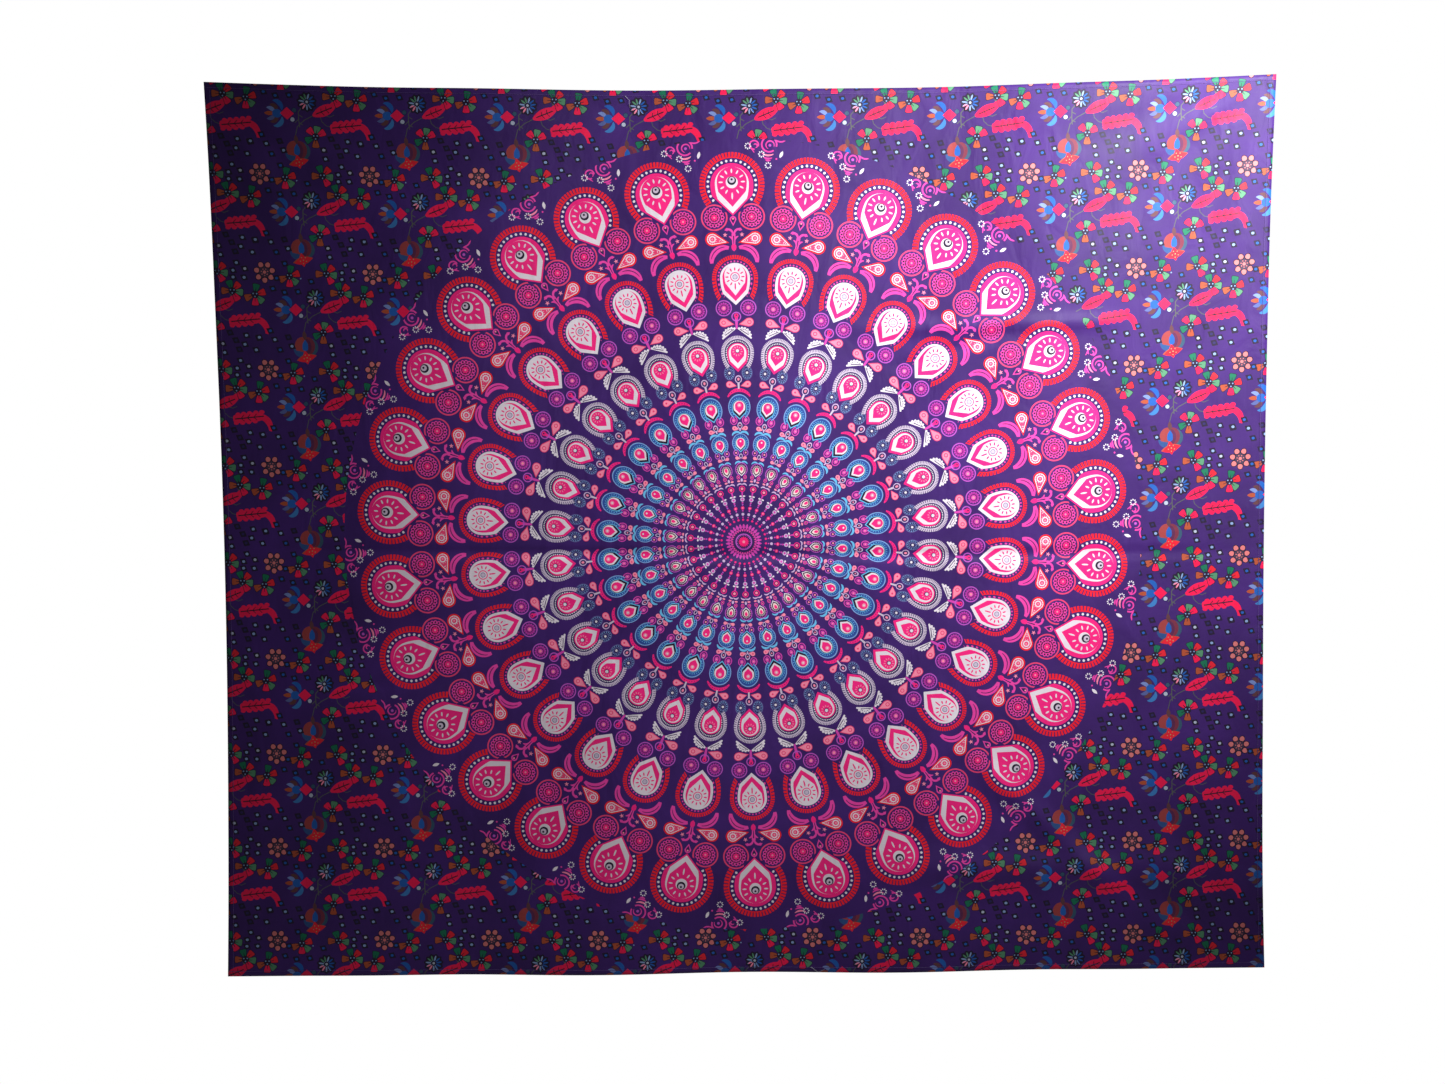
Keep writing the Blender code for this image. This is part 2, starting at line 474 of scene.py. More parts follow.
# The mandala, one of thirty like slices. x is the distance from the slice's middle line, y the
# distance from the mandala's centre. Seven motifs, each smaller than the one outside it.
slice_shapes = [
    # The outer eye-shaped motif.
    (pink, arch(12.4, 394.7, 19.1, 4.4, start=-16, stop=98, thin=0.5)),
    (plum, arch(12.4, 394.7, 19.7, 0.64, start=2, stop=80, thin=0.6)),
    (pink, stroke(0, 431.8, 0, 410.4, 2.71, 1.71)),
    (pink, arch(7.7, 432.3, 6.6, 1.57, start=-100, stop=40, thin=0.4)),
    (pink, arch(7.7, 422.7, 6.3, 1.28, start=-100, stop=-10, thin=0.4)),
    (pink, blob(9.1, 438.6, 2.14)),
    (plum, stroke(0, 428.9, 0, 417.5, 0.85, 0.43)),
    (hot_pink, drop(0, 414.7, 3.42, 6.6)),
    (rose, petals(11.7, 431.2, 1.28, 3.28, count=5, sharp=True)),
    (red, drop(29.8, 425.6, 9.8, 24.2, turn=-77, angle=24)),
    (white, drop(29.5, 425.6, 7.6, 20.2, turn=-77, angle=22)),
    (coral, drop(29.5, 425.6, 6.6, 18, turn=-77, angle=21)),
    (white, band(29.5, 425.6, 3.85, 0.78)),
    (rose, blob(29.8, 425.6, 1.43)),
    (white, dots(29.8, 425.6, 6, 0.5, 0.5, count=12)),
    (white, stroke(19.4, 422.4, 18.4, 424.7, 0.36)),
    (white, stroke(16.5, 422.1, 15.8, 423.8, 0.36)),
    (white, stroke(13.8, 421.8, 13.4, 422.9, 0.29)),
    (coral, without(band(25.9, 455.6, 17.4, 1.07), blob(7.4, 470.2, 8))),
    (pink, petals(25.9, 455.6, 12.7, 14.4, count=16)),
    (night, dots(25.9, 455.6, 11.5, 1.21, 1.43, count=16)),
    (night, blob(25.9, 455.6, 9.3)),
    (pink, petals(25.9, 455.6, 7.1, 8.1, count=12)),
    (night, blob(25.9, 455.6, 5.8)),
    (hot_pink, petals(25.9, 455.6, 3.71, 5, count=8)),
    (rose, blob(25.9, 455.6, 1.43)),
    (pink, drop(0, 452.6, 4.6, 9.4, angle=28)),
    (plum, drop(0, 452.6, 2.56, 6.3, angle=28)),
    (rose, blob(0, 453.4, 1.28)),
    (red, bricks(0, 500.9, 36.8, 45, count=59, stretch=0.93, span=128, sill=0.2)),
    (white, dots(0, 500.9, 33.3, 1.71, 1.85, count=31, stretch=0.95, span=130)),
    (hot_pink, drop(0, 500.9, 29.6, 43.3)),
    (white, drop(0, 502.3, 23.4, 41.6)),
    (hot_pink, drop(0, 505, 20.7, 35.1, angle=42)),
    (white, dots(0, 504.4, 15.4, 1.14, 2.99, count=12, span=170)),
    (white, blob(0, 485.1, 1.14, 4.8)),
    (white, blob(0, 504, 8.3)),
    (night, blob(0, 506.3, 6.1)),
    (grey, blob(0, 507.3, 4.1)),
    (night, blob(0, 508, 1.57)),
    # The second motif, with its white wings below.
    (white, both(petals(7.3, 289.3, 11.7, 13.7, count=18), beyond(0.43, 300.8, 19.5, 285.6))),
    (plum, stroke(5.1, 299, 16, 291.6, 0.57)),
    (plum, dots(7.3, 289.3, 10.3, 0.71, 0.71, count=26, span=70)),
    (coral, drop(18, 309.2, 6.1, 15.4, turn=-79, angle=26)),
    (rose, drop(18, 309.2, 5.1, 13.1, turn=-79, angle=25)),
    (coral, band(18, 309.2, 2.42, 0.57)),
    (magenta, stroke(0, 314.9, 0, 301.4, 2.14, 1.43)),
    (lilac, band(0, 317.2, 6, 0.78)),
    (hot_pink, drop(0, 318.6, 3.14, 6.3, angle=30)),
    (plum, blob(0, 319.2, 1.14)),
    (lilac, band(17.1, 329.3, 10.5, 0.78)),
    (wine, petals(17.1, 329.3, 7.1, 8.6, count=14)),
    (lilac, dots(17.1, 329.3, 7, 0.5, 1, count=14)),
    (plum, blob(17.1, 329.3, 4.7)),
    (magenta, blob(17.1, 329.3, 3.71)),
    (rose, blob(17.1, 329.3, 1.99)),
    (red, bricks(0, 371.2, 26.2, 31.9, count=57, stretch=0.66, span=130, sill=0.2)),
    (pink, dots(0, 371.2, 23.2, 1.21, 1.28, count=31, stretch=0.66, span=138)),
    (white, drop(0, 371.2, 20.9, 37.9, angle=47)),
    (hot_pink, drop(0, 371.9, 17.4, 33.1, angle=44)),
    (white, drop(0, 375.1, 14.7, 28.5, angle=38)),
    (hot_pink, dots(0, 372.6, 11, 1, 2.42, count=12)),
    (hot_pink, blob(0, 358.5, 1, 3.71)),
    (hot_pink, band(0, 372.6, 6, 0.64)),
    (grey, blob(0, 372.6, 3.42)),
    (slate, band(0, 372.6, 3.14, 0.36)),
    # The third.
    (hot_pink, arch(0, 197.1, 17.5, 2.56, start=-63, stop=63, thin=0.35)),
    (plum, dots(0, 197.1, 17.5, 0.5, 0.71, count=30, span=52)),
    (coral, drop(12.8, 222.6, 4.8, 10.8, turn=-76, angle=28)),
    (rose, drop(12.8, 222.6, 3.99, 9.1, turn=-76, angle=27)),
    (coral, blob(12.7, 222.6, 1.43)),
    (grey, stroke(0, 228, 0, 217.2, 1.57, 1.14)),
    (mauve, blob(0, 229.7, 4.8, 5.4)),
    (navy, blob(0, 229.4, 3.56, 4.1)),
    (rose, blob(0, 229.7, 1.57, 2.14)),
    (slate, blob(12.3, 238.5, 7.6, 9.8)),
    (navy, blob(12.3, 238.5, 6.3, 8.3)),
    (sky, dots(12.3, 238.5, 5.7, 0.5, 0.85, count=14, stretch=0.78)),
    (slate, blob(12.3, 238.5, 4.1, 5.6)),
    (navy, blob(12.3, 238.5, 2.99, 4.1)),
    (white, blob(12.3, 238.5, 1.71)),
    (grey, bricks(0, 267.8, 18, 22.8, count=60, stretch=0.72, span=140, fill=0.66, sill=0.3)),
    (navy, drop(0, 267.8, 17.7, 27.1, stretch=0.8)),
    (white, dots(0, 267.5, 15.7, 0.78, 0.85, count=40, stretch=0.72, span=140)),
    (hot_pink, drop(0, 266, 14.5, 26.2)),
    (white, drop(0, 266.8, 12.3, 22.2)),
    (hot_pink, drop(0, 268.2, 9.4, 16.2, angle=42)),
    (rose, dots(0, 269, 6, 0.71, 1.43, count=11)),
    (plum, blob(0, 269.2, 3.14)),
    (white, blob(0, 269.5, 2.28)),
    # The fourth.
    (cyan, arch(4.8, 149.1, 6.6, 1.64, start=-50, stop=76, thin=0.3)),
    (rose, drop(7.7, 160.9, 3.14, 6.4, turn=-77, angle=31)),
    (coral, blob(7.7, 160.9, 1.14)),
    (mauve, stroke(0, 162.5, 0, 157.5, 1.14, 0.85)),
    (mauve, blob(0, 164.6, 3.42, 4.7)),
    (navy, blob(0, 164.3, 2.28, 3.28)),
    (rose, blob(0, 164.6, 1)),
    (magenta, blob(8.4, 172, 5.3, 6.4)),
    (plum, blob(8.4, 172, 3.85, 5)),
    (magenta, blob(8.4, 172, 2.71, 3.56)),
    (rose, blob(8.4, 172, 1.14)),
    (sky, without(blob(0, 190.6, 15.5, 18), blob(0, 171.3, 9.1, 9.1))),
    (blue, without(blob(0, 190.6, 14.2, 16.5), blob(0, 171.3, 9.1, 9.1))),
    (cyan, dots(0, 190.6, 12.4, 0.71, count=24, stretch=0.88, span=145)),
    (cyan, drop(0, 190.6, 10.4, 17.7)),
    (night, drop(0, 190.8, 9.4, 16)),
    (white, drop(0, 191.2, 8.3, 12.5)),
    (hot_pink, drop(0, 192.4, 6.1, 10.5)),
    (rose, blob(0, 193.2, 2.85)),
    (white, blob(0, 193.2, 1.28)),
    # The fifth.
    (cyan, arch(3.71, 108.7, 5, 1.21, start=-45, stop=75, thin=0.3)),
    (rose, drop(5.7, 119, 2.28, 4.6, turn=-77, angle=31)),
    (mauve, blob(0, 121.7, 2.42, 3.42)),
    (navy, blob(0, 121.6, 1.43, 2.28)),
    (lilac, blob(6.8, 126.3, 3.71, 4.4)),
    (plum, blob(6.8, 126.3, 2.56, 3.28)),
    (rose, blob(6.8, 126.3, 1.28)),
    (sky, without(blob(0, 140.1, 11.7, 13.4), blob(0, 126.3, 6.8))),
    (blue, without(blob(0, 140.1, 10.7, 12.4), blob(0, 126.3, 6.8))),
    (cyan, dots(0, 140.1, 9.4, 0.57, count=20, stretch=0.88, span=145)),
    (cyan, drop(0, 140.1, 7.8, 13.3)),
    (night, drop(0, 140.4, 7, 11.8)),
    (white, drop(0, 140.8, 6.3, 10.3)),
    (hot_pink, drop(0, 141.6, 4.8, 8.8)),
    (white, blob(0, 142.4, 1.28)),
    # The sixth.
    (mauve, arch(2.71, 78.5, 3.85, 1, start=-45, stop=75, thin=0.3)),
    (rose, blob(4.4, 86.1, 2.14, 1.28)),
    (mauve, blob(0, 87.8, 1.57, 2.42)),
    (pink, blob(4.7, 91.6, 2.49, 2.99)),
    (plum, blob(4.7, 91.6, 1.43, 1.85)),
    (rose, blob(4.7, 91.6, 0.71)),
    (lilac, without(blob(0, 102.9, 8.6, 9.7), blob(0, 92.6, 4.7))),
    (plum, without(blob(0, 102.9, 7.6, 8.6), blob(0, 92.6, 4.7))),
    (rose, dots(0, 102.9, 6.6, 0.43, count=16, stretch=0.88, span=145)),
    (white, drop(0, 103.2, 5.4, 10)),
    (night, drop(0, 103.5, 4.7, 8.6)),
    (cream, drop(0, 103.7, 3.28, 6.8)),
    (hot_pink, drop(0, 104.3, 1.99, 4.3)),
    # The seventh and the beads inside it.
    (white, blob(2.42, 64.8, 1.71, 1.14)),
    (magenta, stroke(0, 71.2, 0, 64.1, 1.28, 0.57)),
    (hot_pink, blob(0, 75.2, 4.4)),
    (plum, blob(0, 75.2, 3.14)),
    (rose, blob(0, 75.2, 1.99)),
    (mauve, blob(0, 60.2, 2.99)),
    (magenta, blob(0, 60.2, 1.57)),
    (magenta, blob(0, 55.6, 1.28)),
    (lilac, blob(0, 52.7, 1.14)),
    (hot_pink, blob(0, 48.1, 2.42)),
    (rose, blob(0, 48.1, 1)),
    (magenta, blob(0, 44.2, 1.14)),
    (mauve, blob(0, 39.2, 1.99)),
    (magenta, blob(0, 35.1, 1)),
    (hot_pink, blob(0, 31.4, 1.57)),
]

# The scroll between two outer motifs, seen from the middle line of the gap.
scroll_shapes = [
    (pink, without(band(-25.7, 555, 6, 1), blob(-21.1, 550.1, 3.71))),
    (pink, arch(-23.9, 553.8, 2.71, 1, start=-60, stop=170, thin=0.3)),
    (pink, stroke(-30.8, 552.2, -25.1, 544.9, 1, 0.57)),
    (pink, without(band(-5, 557.2, 10.3, 1.14), blob(4.3, 551.5, 3.42))),
    (pink, arch(-3.71, 556.3, 5.7, 1, start=-160, stop=110, thin=0.3)),
    (lilac, blob(-3.99, 556, 1.99)),
    (pink, arch(10, 572.3, 10.5, 1, start=118, stop=236, thin=0.4)),
    (pink, stroke(18, 565.2, 25.7, 568.3, 0.85, 0.43)),
    (pink, blob(19.1, 566.3, 1.71)),
    (rose, arch(-6, 556, 14.1, 1.28, start=146, stop=214, thin=0.3)),
    (pink, arch(-5.6, 550.3, 12.8, 1.28, start=152, stop=208, thin=0.3)),
    (pink, arch(-5.1, 542.1, 7.4, 1.14, start=150, stop=210, thin=0.3)),
    (white, leaf(10.8, 539.5, 14.5, 549.2, 2.14)),
    (pink, blob(6.3, 537.8, 1.28)),
    (white, dots(-34.2, 552.9, 3.71, 0.88, 1.21, count=8)),
    (white, dots(-14.5, 542.9, 3.71, 0.88, 1.21, count=8)),
    (white, dots(-4.3, 528.1, 3.71, 0.88, 1.21, count=8)),
]

# The small pattern round the mandala, one tile of it. x goes right and y down from the middle of the
# blue flower.
azure = dye(22, 84, 166)
cobalt = dye(39, 72, 126)
ice = dye(128, 154, 198)
teal = dye(46, 75, 99)
mint = dye(78, 132, 100)
green = dye(8, 104, 76)
orange = dye(164, 72, 44)
salmon = dye(206, 112, 114)
cherry = dye(232, 10, 74)
brown = dye(87, 50, 58)
moss = dye(78, 80, 78)
scarlet = dye(216, 24, 46)
pearl = dye(168, 176, 196)
sand = dye(160, 142, 105)


def petal_flower(x, y, dyes):
    """A flower of separate blunt petals, each outlined in navy, round a navy middle with dots."""
    made = []
    for colour, angle in dyes:
        dx = math.sin(math.radians(angle))
        dy = -math.cos(math.radians(angle))
        ends = (x + 4.0 * dx, y + 4.0 * dy, x + 16.0 * dx, y + 16.0 * dy)
        made.append((night, wedge(*ends, 3.2, 6.6)))
        ends = (x + 4.6 * dx, y + 4.6 * dy, x + 15.2 * dx, y + 15.2 * dy)
        made.append((colour, wedge(*ends, 2.4, 5.6)))
        made.append((night, stroke(x + 5.0 * dx, y + 5.0 * dy, x + 9.6 * dx, y + 9.6 * dy, 0.6, 0.3)))
    made.append((night, blob(x, y, 5.2)))
    made.append((ice, dots(x, y, 2.9, 1.0, count=3)))
    return made


def small_gem(x, y, colour):
    """A little lozenge in a navy outline."""
    return [
        (night, diamond(x, y, 6.6, 5.2, turn=30)),
        (night, blob(x, y, 4.2, 3.8)),
        (colour, blob(x, y, 2.2, 1.9)),
    ]


left_flower = ((green, -17), (scarlet, 43), (mint, 97), (cherry, 148), (orange, 270))
right_flower = ((green, 11), (scarlet, 73), (mint, 133), (cherry, 180), (orange, 248))
bud_cut = beyond(27, 70, 27.6, 38)
flake = dots(43.6, -17, 7.6, 1.15, 4, count=11)
tile_shapes = [
    *[(moss, stroke(*at, 0.7)) for at in (
        (36, -9, 31, -3), (31, -3, 31, 9), (31, 9, 32, 18),
    )],
    *[(moss, stroke(*at, 0.6)) for at in (
        (31, 1, 36, 4), (31, 7, 26, 12), (31.5, 12, 36, 15), (25.8, 30, 28.8, 17.6),
        (28.8, 17.6, 38.6, 8.4), (38.6, 8.4, 51, 2),
    )],
    *[(moss, stroke(*at, 0.5)) for at in (
        (61, 1.5, 63, 9.7), (63, 9.7, 69, 15.4), (69, 15.4, 75, 17), (68, 0.6, 74.6, 3.2),
        (74.6, 3.2, 80.6, 0.6),
    )],
    (cherry, leaf(50.9, 2, 84, -13, 7.6, blunt=0.2)),
    (cherry, blob(75, -9, 7, 5.8, turn=-20)),
    (cherry, leaf(75, -10, 83.4, -18.6, 2.6)),
    (night, stroke(56, -0.6, 78, -9.6, 0.8)),
    *[(night, stroke(*at, 0.5)) for at in (
        (63, -3.4, 67, 0.6), (63, -3.4, 63, -8), (70, -6.2, 74, -2.4), (70, -6.2, 70, -11),
    )],
    (moss, petals(79, -21, 0.8, 3.4, count=3)),
    (cherry, wedge(74.6, 18.4, 118, 13.8, 6.6, 6.4)),
    (cherry, arch(110.8, 31, 17.2, 4.6, start=78, stop=196, thin=0.45)),
    *[(cherry, blob(*at, 3.6, 2.8)) for at in (
        (82, 11.8), (90, 10.6), (98.5, 9.6), (107.5, 8.4),
    )],
    (cherry, blob(116, 7.8, 3.8, 3)),
    *[(cherry, blob(*at, 3.6, 2.6)) for at in (
        (79, 24), (88, 23.6), (97, 22.4), (106, 21.2),
    )],
    (night, stroke(78, 18.2, 118, 13.6, 0.8)),
    *[(night, stroke(*at, 0.5)) for at in (
        (86, 17.2, 90, 12.6), (86, 17.2, 90.6, 21), (95, 16.2, 99, 11.6), (95, 16.2, 99.6, 20),
        (104, 15.2, 108, 10.8), (104, 15.2, 108.6, 19),
    )],
    # The snowflake.
    (night, blob(43.6, -17, 12.6)),
    (night, dots(43.6, -17, 11.8, 2.4, count=11)),
    (ice, flake),
    (azure, both(flake, blob(51, -17, 5, 9))),
    (mint, both(flake, blob(39, -24.5, 4.4, 5))),
    (rose, both(flake, blob(38, -10, 4.6, 5))),
    (pearl, blob(43.6, -17, 1.8)),
    # The tulip bud.
    (teal, both(blob(33, 52, 12.6, 12.6), bud_cut)),
    (dye(110, 38, 60), both(blob(30.6, 50.4, 10.4, 12.6), bud_cut)),
    (dye(84, 30, 69), both(blob(27, 51.4, 8.6, 11.6), bud_cut)),
    (cobalt, without(blob(22, 55, 12, 11.6), bud_cut)),
    (dye(148, 56, 58),
     without(without(blob(24, 50, 12, 12.4), bud_cut), beyond(8, 55.6, 30, 60))),
    (azure, drop(26.8, 53.4, 4.2, 12.4, turn=0, angle=30)),
    (brown, leaf(25.6, 29, 27, 42.5, 3)),
    (orange, leaf(14, 71, 43, 63.4, 5.2)),
    (scarlet, leaf(16, 71.6, 42, 63.8, 5)),
    (scarlet, leaf(26, 57, 30, 76.4, 4.6)),
    (sand, dots(29, 67, 4.6, 0.75, count=5)),
    (sand, blob(29, 67, 0.9)),
    # The ring flower.
    (dye(63, 46, 69), blob(127.5, 84.9, 10.6)),
    (night, dots(127.5, 84.9, 11.4, 4.7, count=7)),
    (salmon, dots(127.5, 84.9, 11.4, 3.5, count=7)),
    (dye(63, 46, 69), blob(127.5, 84.9, 6.8)),
    (salmon, dots(127.5, 84.9, 4.6, 0.8, count=7)),
    (salmon, blob(127.5, 84.9, 2.3)),
    # The blue flower.
    (azure, arch(-2.4, -7.2, 10.4, 3.3, start=74, stop=190, thin=0.1)),
    (dye(52, 112, 176), arch(-2.4, 7.2, 10.4, 3.3, start=-10, stop=106, thin=0.1)),
    (brown, arch(-7.6, -2.6, 9.4, 3, start=96, stop=186, thin=0.1)),
    (brown, arch(-7.6, 2.6, 9.4, 3, start=-6, stop=84, thin=0.1)),
    (dye(112, 131, 188), arch(-11.6, 2.6, 10.4, 2.8, start=110, stop=190, thin=0.1)),
    (dye(79, 90, 146), arch(-11.6, -2.6, 10.4, 2.8, start=-10, stop=70, thin=0.1)),
    (orange, leaf(-16.4, 0, -3, 0, 3, blunt=0.2)),
    (azure, blob(1, 0, 6.6, 6)),
    (cherry, diamond(15, -0.4, 9.6, 8.8)),
    (navy, blob(25.4, -5.1, 4)),
    (teal, blob(25.4, -5.1, 2.9)),
    (navy, blob(22.3, 7.9, 4)),
    (pearl, blob(22.3, 7.9, 2.9)),
    *[shape for x, y, dyes in (
        (53.6, 31.4, ((cherry, -42), (mint, 12), (cherry, 60), (green, 246), (orange, 180))),
        (60.8, 86, left_flower), (81, 112.5, left_flower),
        (7.75, 89.7, right_flower), (112.7, 116.7, right_flower),
    ) for shape in petal_flower(x, y, dyes)],
    *[shape for at in (
        (-16.4, -29.5, azure), (0, -24.6, azure), (19.3, -25.8, azure), (-22.4, 29.9, azure),
        (-9.4, 56.5, azure), (2, 72.2, azure), (-16.3, 42.3, ice), (-39, 40.7, ice),
        (98.4, 37.1, ice), (111.5, 57.3, ice), (95.8, 49.8, ice), (7.7, 51.1, ice),
        (64.5, 49.6, pearl), (66.6, 62, ice), (88.5, 72.7, ice), (100, 80.7, pearl),
        (83.3, 83.6, ice), (83, 93.1, ice), (98.5, 93, ice), (38.9, 96.7, azure),
        (116.5, 39.5, ice), (-10.6, 92.9, azure), (75.4, 33.8, navy), (83.3, 44.4, navy),
        (87.6, 57.1, navy), (3.1, 38.5, navy),
    ) for shape in small_gem(*at)],
    (ice, blob(23.9, 93, 1)),
]


def overlaps(box, other):
    return box[0] < other[1] and box[1] > other[0] and box[2] < other[3] and box[3] > other[2]


def split_up(shapes, area, ways, halvings=4):
    """Parts an area of the print so that each spot of cloth works out only the shapes near it. The
    area is cut across its longer way, where half of its shapes lie on each side, and each half is cut
    again. Each part left is a node group that lays its shapes one on another over the ground."""
    inside = [shape for shape in shapes if overlaps(shape[1][0], area)]
    if halvings:
        across = area[1] - area[0] if "x" in ways else 0.0
        along = area[3] - area[2] if "y" in ways else 0.0
        way = int(along >= across)
        lows = [max(shape[1][0][2 * way], area[2 * way]) for shape in inside]
        highs = [min(shape[1][0][2 * way + 1], area[2 * way + 1]) for shape in inside]
        cut = float(np.median(0.5 * (np.array(lows) + np.array(highs))))
        low = list(area)
        high = list(area)
        low[2 * way + 1] = cut
        high[2 * way] = cut
        first = split_up(inside, low, ways, halvings - 1)
        return way, cut, first, split_up(inside, high, ways, halvings - 1)
    group = bpy.data.node_groups.new("part of the print", "ShaderNodeTree")
    group.interface.new_socket("Ground", in_out="INPUT", socket_type="NodeSocketColor")
    group.interface.new_socket("Place", in_out="INPUT", socket_type="NodeSocketVector")
    group.interface.new_socket("Gap place", in_out="INPUT", socket_type="NodeSocketVector")
    group.interface.new_socket("Colour", in_out="OUTPUT", socket_type="NodeSocketColor")
    colour = node(group, "NodeGroupInput", {}, {})
    lift = (0, 0, 1e-5 * len(bpy.data.node_groups))
    places = {"gap": Flow(group, colour.socket.node.outputs["Gap place"]).vector("ADD", lift)}
    places[0.0, 0.0] = Flow(group, colour.socket.node.outputs["Place"]).vector("ADD", lift)
    for ink, (box, mask), where in inside:
        if where not in places:
            places[where] = places[0.0, 0.0].vector("SUBTRACT", (*where, 0))
        colour = mix(group, mask(places[where]), colour, ink)
    node(group, "NodeGroupOutput", {}, {0: colour})
    return group


def printed(tree, plan, ground, place, gap_place, sides, finish):
    """The shader of a parted area: at each cut a Mix Shader takes the half that the place is in."""
    if isinstance(plan, tuple):
        way, cut, low, high = plan
        first = printed(tree, low, ground, place, gap_place, sides, finish)
        second = printed(tree, high, ground, place, gap_place, sides, finish)
        return node(tree, "ShaderNodeMixShader", {}, {0: sides[way] > cut, 1: first, 2: second})
    values = {"Ground": ground, "Place": place, "Gap place": gap_place}
    return finish(node(tree, "ShaderNodeGroup", {"node_tree": plan}, values))


def moved(shapes, width_of, height_of):
    """A tile's shapes and their copies that reach into it from the tiles round it."""
    area = (0.0, width_of, 0.0, height_of)
    for ink, (box, mask) in shapes:
        for dx in (-width_of, 0.0, width_of):
            for dy in (-height_of, 0.0, height_of):
                there = (box[0] + dx, box[1] + dx, box[2] + dy, box[3] + dy)
                if overlaps(there, area):
                    yield ink, (there, mask), (dx, dy)


heart_shapes = [
    (magenta, petals(0, 0, 20, 25.4, count=30)),
    (plum, petals(0, 0, 15.6, 20.6, count=30, turn=6)),
    (pink, dots(0, 0, 16.6, 1, 1.6, count=30, turn=6)),
    (plum, blob(0, 0, 12.8)),
    (lilac, blob(0, 0, 11.7)),
    (plum, blob(0, 0, 10.2)),
    (lilac, dots(0, 0, 9.4, 0.5, 0.7, count=24)),
    (dye(240, 20, 110), petals(0, 0, 6, 8, count=16, sharp=True)),
    (rose, blob(0, 0, 2)),
]
yarn_pitch = 0.0007
heart_reach = 26.5
mandala_reach = 564.0
tile = (154.8, 137.2)
flower_of_tile = (123.0, 40.0)
tiles_before = 20.0
mandala = []
for ink, (box, mask) in scroll_shapes:
    mandala.append((ink, ((0.0, 100.0, box[2] - 7.0, box[3] + 7.0), mask), "gap"))
mandala += [(ink, shape, (0.0, 0.0)) for ink, shape in slice_shapes]
mandala_plan = split_up(mandala, (0.0, 100.0, 26.0, 566.0), "y")
heart = [(ink, shape, (0.0, 0.0)) for ink, shape in heart_shapes]
heart_plan = split_up(heart, (-30, 30, -30, 30), "", 0)
border_plan = split_up(list(moved(tile_shapes, *tile)), (0.0, tile[0], 0.0, tile[1]), "xy")


